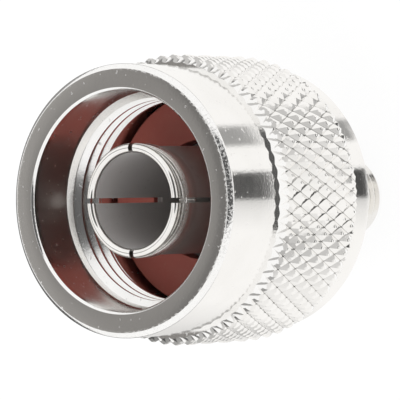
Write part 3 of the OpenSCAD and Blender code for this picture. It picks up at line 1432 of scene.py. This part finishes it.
@dataclass
class Studio:
    """Pale floor, white surround, soft lamps and the camera.

    The bands on the floor and the grey patches overhead show only in reflections. A band is an
    azimuth in degrees, counted from -Y towards +X, and a grey level. An edge is where a change
    begins and ends, in metres on the floor and as a cosine or a part of a direction overhead.
    """

    floor_size: float = 3.0
    floor_glow: float = 0.86
    floor_colour: float = 0.8
    band_radii: Pair = (0.0125, 0.2)
    band_segments: int = 96
    band_height: float = 0.0001
    band_glow: float = 0.9864
    band_tone: Colour = (1.0, 0.99, 0.975)
    near_bands: tuple[Pair, ...] = (
        (-180, 1.0), (-150, 0.72), (-118, 0.78), (-80, 1.0), (-22, 1.0), (-8, 0.85), (-1, 0.68),
        (1, 0.07), (18, 0.06), (20, 1.0), (37, 1.0), (40, 0.35), (52, 0.35), (56, 1.0),
    )
    far_bands: tuple[Pair, ...] = (
        (-180, 0.75), (-140, 0.55), (-112, 0.45), (-66, 0.5), (-44, 1.0), (-22, 0.92), (-8, 0.8),
        (0, 0.6), (18, 0.6), (21, 1.0), (37, 1.0), (42, 0.95), (56, 0.92), (70, 0.6), (108, 0.6),
        (132, 0.9),
    )
    rings: tuple[tuple[Pair, Pair], ...] = (
        ((0.0155, 0.0165), (0.0205, 0.021)),
        ((0.0268, 0.0272), (0.033, 0.034)),
    )
    side_edge: Pair = (-0.014, -0.008)
    far_edge: Pair = (0.036, 0.038)
    back_edge: Pair = (0.03, 0.038)
    back_shade: float = 0.68
    dark_side: Triple = (0.183, -0.564, 0.805)
    dark_level: float = 0.1
    dark_edge: Pair = (0.885, 0.905)
    dark_foot: Pair = (0.54, 0.58)
    rim_side: Triple = (0.0, 0.593, 0.805)
    rim_edge: Pair = (0.955, 0.975)
    rim_steps: Triple = (0.5, 0.58, 0.7)
    rim_levels: Triple = (0.165, 0.245, 0.31)
    rim_warmth: Triple = (0.0, 0.035, 0.075)
    fill_level: float = 0.9
    lamp_aim: Triple = (0.0, 0.0, 0.015)
    camera_place: Triple = (1.085, -167.136, 246.488)
    camera_aim: Triple = (-0.033, 0.0, 19.761)
    camera_roll: float = -0.62
    lens: float = 339.45

    def lay(self, name: str, work: bmesh.types.BMesh) -> tuple[bpy.types.Object, NodeSheet]:
        """Turns a flat shape into an object with an empty finish.

        Args:
            name: Name of the object, its mesh and its finish.
            work: The shape, which is used up.

        Returns:
            The object, and the sheet of its finish.
        """
        mesh = bpy.data.meshes.new(name)
        work.to_mesh(mesh)
        work.free()
        laid = bpy.data.objects.new(name, mesh)
        bpy.context.scene.collection.objects.link(laid)
        material = bpy.data.materials.new(name)
        material.cycles.emission_sampling = "NONE"
        mesh.materials.append(material)
        return laid, NodeSheet(bare_tree(material))

    def floor(self) -> bpy.types.Object:
        """Lays the floor, which glows for rays that see it and keeps a faint shadow.

        Returns:
            The floor.
        """
        work = bmesh.new()
        bmesh.ops.create_grid(work, x_segments=1, y_segments=1, size=self.floor_size / 2)
        floor, sheet = self.lay("floor", work)
        plain, faint = (
            sheet.node("ShaderNodeBsdfDiffuse", sockets={"Color": (level, level, level, 1.0)})[0]
            for level in (self.floor_colour, 1.0 - self.floor_glow)
        )
        glow = sheet.node("ShaderNodeEmission", sockets={"Strength": self.floor_glow})[0]
        shown = sheet.node("ShaderNodeAddShader", sockets={0: faint, 1: glow})[0]
        path = sheet.node("ShaderNodeLightPath")
        seen = path["Is Camera Ray"].most(path["Is Glossy Ray"]).most(path["Is Transmission Ray"])
        mixed = sheet.node("ShaderNodeMixShader", sockets={0: seen, 1: plain, 2: shown})[0]
        sheet.node("ShaderNodeOutputMaterial", sockets={"Surface": mixed})
        return floor

    def band_levels(self, sheet: NodeSheet, turn: Wire, bands: tuple[Pair, ...]) -> Wire:
        """Grey level by azimuth, in straight lines from one band to the next.

        Args:
            sheet: The sheet of the finish.
            turn: Azimuth as a share of a turn, with -Y at one half.
            bands: Azimuths in degrees with their levels.

        Returns:
            The level.
        """
        stops = [(turned / 360.0 + 0.5, (level * self.band_glow,) * 3) for turned, level in bands]
        return sheet.node("ShaderNodeValToRGB", {"stops": stops}, {"Fac": turn})[0]

    def floor_bands(self) -> bpy.types.Object:
        """Lays a ring of dark and pale bands that only reflections show.

        Returns:
            The ring.
        """
        count = self.band_segments
        hole, edge = self.band_radii
        work = bmesh.new()
        outer = bmesh.ops.create_circle(work, segments=count, radius=edge)["verts"]
        inner = bmesh.ops.create_circle(work, segments=count, radius=hole)["verts"]
        for i in range(count):
            j = (i + 1) % count
            work.faces.new((inner[i], outer[i], outer[j], inner[j]))
        bands, sheet = self.lay("bands", work)
        bands.location.z = self.band_height
        x, y, _ = sheet.parts(sheet.node("ShaderNodeTexCoord")["Object"])
        turn = sheet.maths("ARCTAN2", x, y * -1.0) / math.tau + 0.5
        near = self.band_levels(sheet, turn, self.near_bands)
        far = self.band_levels(sheet, turn, self.far_bands)
        reach = (x * x + y * y) ** 0.5
        shown = y.ramp(*self.side_edge)
        for begin, end in self.rings:
            shown = shown.most(reach.ramp(*begin) * reach.ramp(*end, 1.0, 0.0))
        level = 1.0 - (1.0 - near) * shown - (1.0 - far) * reach.ramp(*self.far_edge)
        level = level * (1.0 - y.ramp(*self.back_edge) * self.back_shade)
        colour = sheet.mix(level, (0.0, 0.0, 0.0), self.band_tone)
        glow = sheet.node("ShaderNodeEmission", sockets={"Color": colour, "Strength": 1.0})[0]
        sheet.node("ShaderNodeOutputMaterial", sockets={"Surface": glow})
        bands.visible_camera = bands.visible_diffuse = bands.visible_shadow = False
        bands.visible_transmission = bands.visible_volume_scatter = False
        return bands

    def surround(self) -> bpy.types.World:
        """White surround with a grey top for reflections, and an even fill for matte surfaces.

        Returns:
            The world.
        """
        world = bpy.data.worlds.new("surround")
        bpy.context.scene.world = world
        sheet = NodeSheet(bare_tree(world))
        x, y, z = sheet.parts(sheet.node("ShaderNodeTexCoord")["Generated"])

        def toward(side: Triple) -> Wire:
            """Cosine between a ray and a direction."""
            return x * side[0] + y * side[1] + z * side[2]

        first, second, third = self.rim_steps
        near, middle, far = self.rim_levels
        level = y.ramp(first, second, near, middle) + y.ramp(second, third, 0.0, far - middle)
        above = toward(self.rim_side).ramp(*self.rim_edge)
        dome = 1.0 - above * (1.0 - level)
        dark = toward(self.dark_side).ramp(*self.dark_edge) * z.ramp(*self.dark_foot)
        dome = dome * (1.0 - dark * (1.0 - self.dark_level))
        path = sheet.node("ShaderNodeLightPath")
        seen = path["Is Camera Ray"].most(path["Is Transmission Ray"])
        glossy = path["Is Glossy Ray"]
        lit = seen + (1.0 - seen) * (glossy * dome + (1.0 - glossy) * self.fill_level)
        warm = above * glossy
        tone = sheet.vector(*(1.0 - warm * part for part in self.rim_warmth))
        back = sheet.node("ShaderNodeBackground", sockets={"Color": tone, "Strength": lit})[0]
        sheet.node("ShaderNodeOutputWorld", sockets={"Surface": back})
        return world

    def lamp(self, name: str, place: Triple, size: float, power: float) -> bpy.types.Object:
        """Hangs a soft square lamp that faces the adapter and doesn't show in reflections.

        Args:
            name: The lamp's name.
            place: Its place, in metres.
            size: Length of its side, in metres.
            power: Its power in watts.

        Returns:
            The lamp's object.
        """
        data = bpy.data.lights.new(name, "AREA")
        data.size, data.energy = size, power
        lamp = bpy.data.objects.new(name, data)
        lamp.location = place
        ahead = Vector(self.lamp_aim) - Vector(place)
        lamp.rotation_euler = ahead.to_track_quat("-Z", "Y").to_euler()
        lamp.visible_glossy = False
        bpy.context.scene.collection.objects.link(lamp)
        return lamp

    def camera(self) -> bpy.types.Object:
        """Sets the camera, which looks down into the mouth with +X upwards.

        Returns:
            The camera.
        """
        data = bpy.data.cameras.new("camera")
        data.lens, data.sensor_width = self.lens, 36.0
        data.clip_start, data.clip_end = 0.01, 20.0
        place, aim = Vector(self.camera_place) * MM, Vector(self.camera_aim) * MM
        ahead = (aim - place).normalized()
        right = ahead.cross(Vector((1, 0, 0))).normalized()
        up = right.cross(ahead)
        frame = Matrix((right, up, -ahead)).transposed().to_4x4()
        roll = Matrix.Rotation(math.radians(self.camera_roll), 4, "Z")
        camera = bpy.data.objects.new("camera", data)
        camera.matrix_world = Matrix.Translation(place) @ frame @ roll
        bpy.context.scene.collection.objects.link(camera)
        bpy.context.scene.camera = camera
        return camera

    def build(self) -> None:
        """Sets up the studio."""
        self.floor()
        self.floor_bands()
        self.surround()
        self.lamp("key", (-0.25, -0.1, 0.45), 0.35, 1.1)
        self.lamp("fill", (0.3, 0.2, 0.35), 0.4, 0.6)
        self.camera()
        bpy.context.scene.view_settings.view_transform = "Standard"


def main() -> None:
    """Builds the studio and the pieces."""
    logging.basicConfig(level=logging.INFO, format="%(name)s: %(message)s")
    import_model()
    Studio().build()
    shop = Workshop(rim=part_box("coupling_nut")[1].z)
    nickel = KnurledPlate("nickel_nut", (0.96, 0.95, 0.935), (0.91, 0.9, 0.88))
    body = PlatedMetal("nickel_body", (0.88, 0.865, 0.835), (0.8, 0.78, 0.745))
    contact = TubePlate(
        "silver_contact", (0.93, 0.915, 0.89), (0.82, 0.79, 0.75), relief=0.003, rings=0.25
    )
    grey = Moulded("bead_grey", (0.03, 0.028, 0.026), (0.06, 0.056, 0.05))
    gold = PlatedMetal("gold_pin", (0.95, 0.73, 0.36), (0.86, 0.62, 0.28), roughness=0.18)
    steel = PlatedMetal("spring_steel", (0.56, 0.56, 0.57), (0.45, 0.45, 0.46), roughness=0.3)
    silicone = Moulded("silicone_red", (0.44, 0.125, 0.098), (0.56, 0.27, 0.235))
    white = Ptfe("ptfe_white", (0.82, 0.81, 0.78), (0.72, 0.7, 0.66))
    CouplingNut(shop, nickel).build()
    SnapRing(shop, steel).build()
    plug = PlugFront(shop, contact, body, silicone, grey)
    plug.build()
    Jack(shop, plug, body, white, gold).build()


if __name__ == "__main__":
    main()
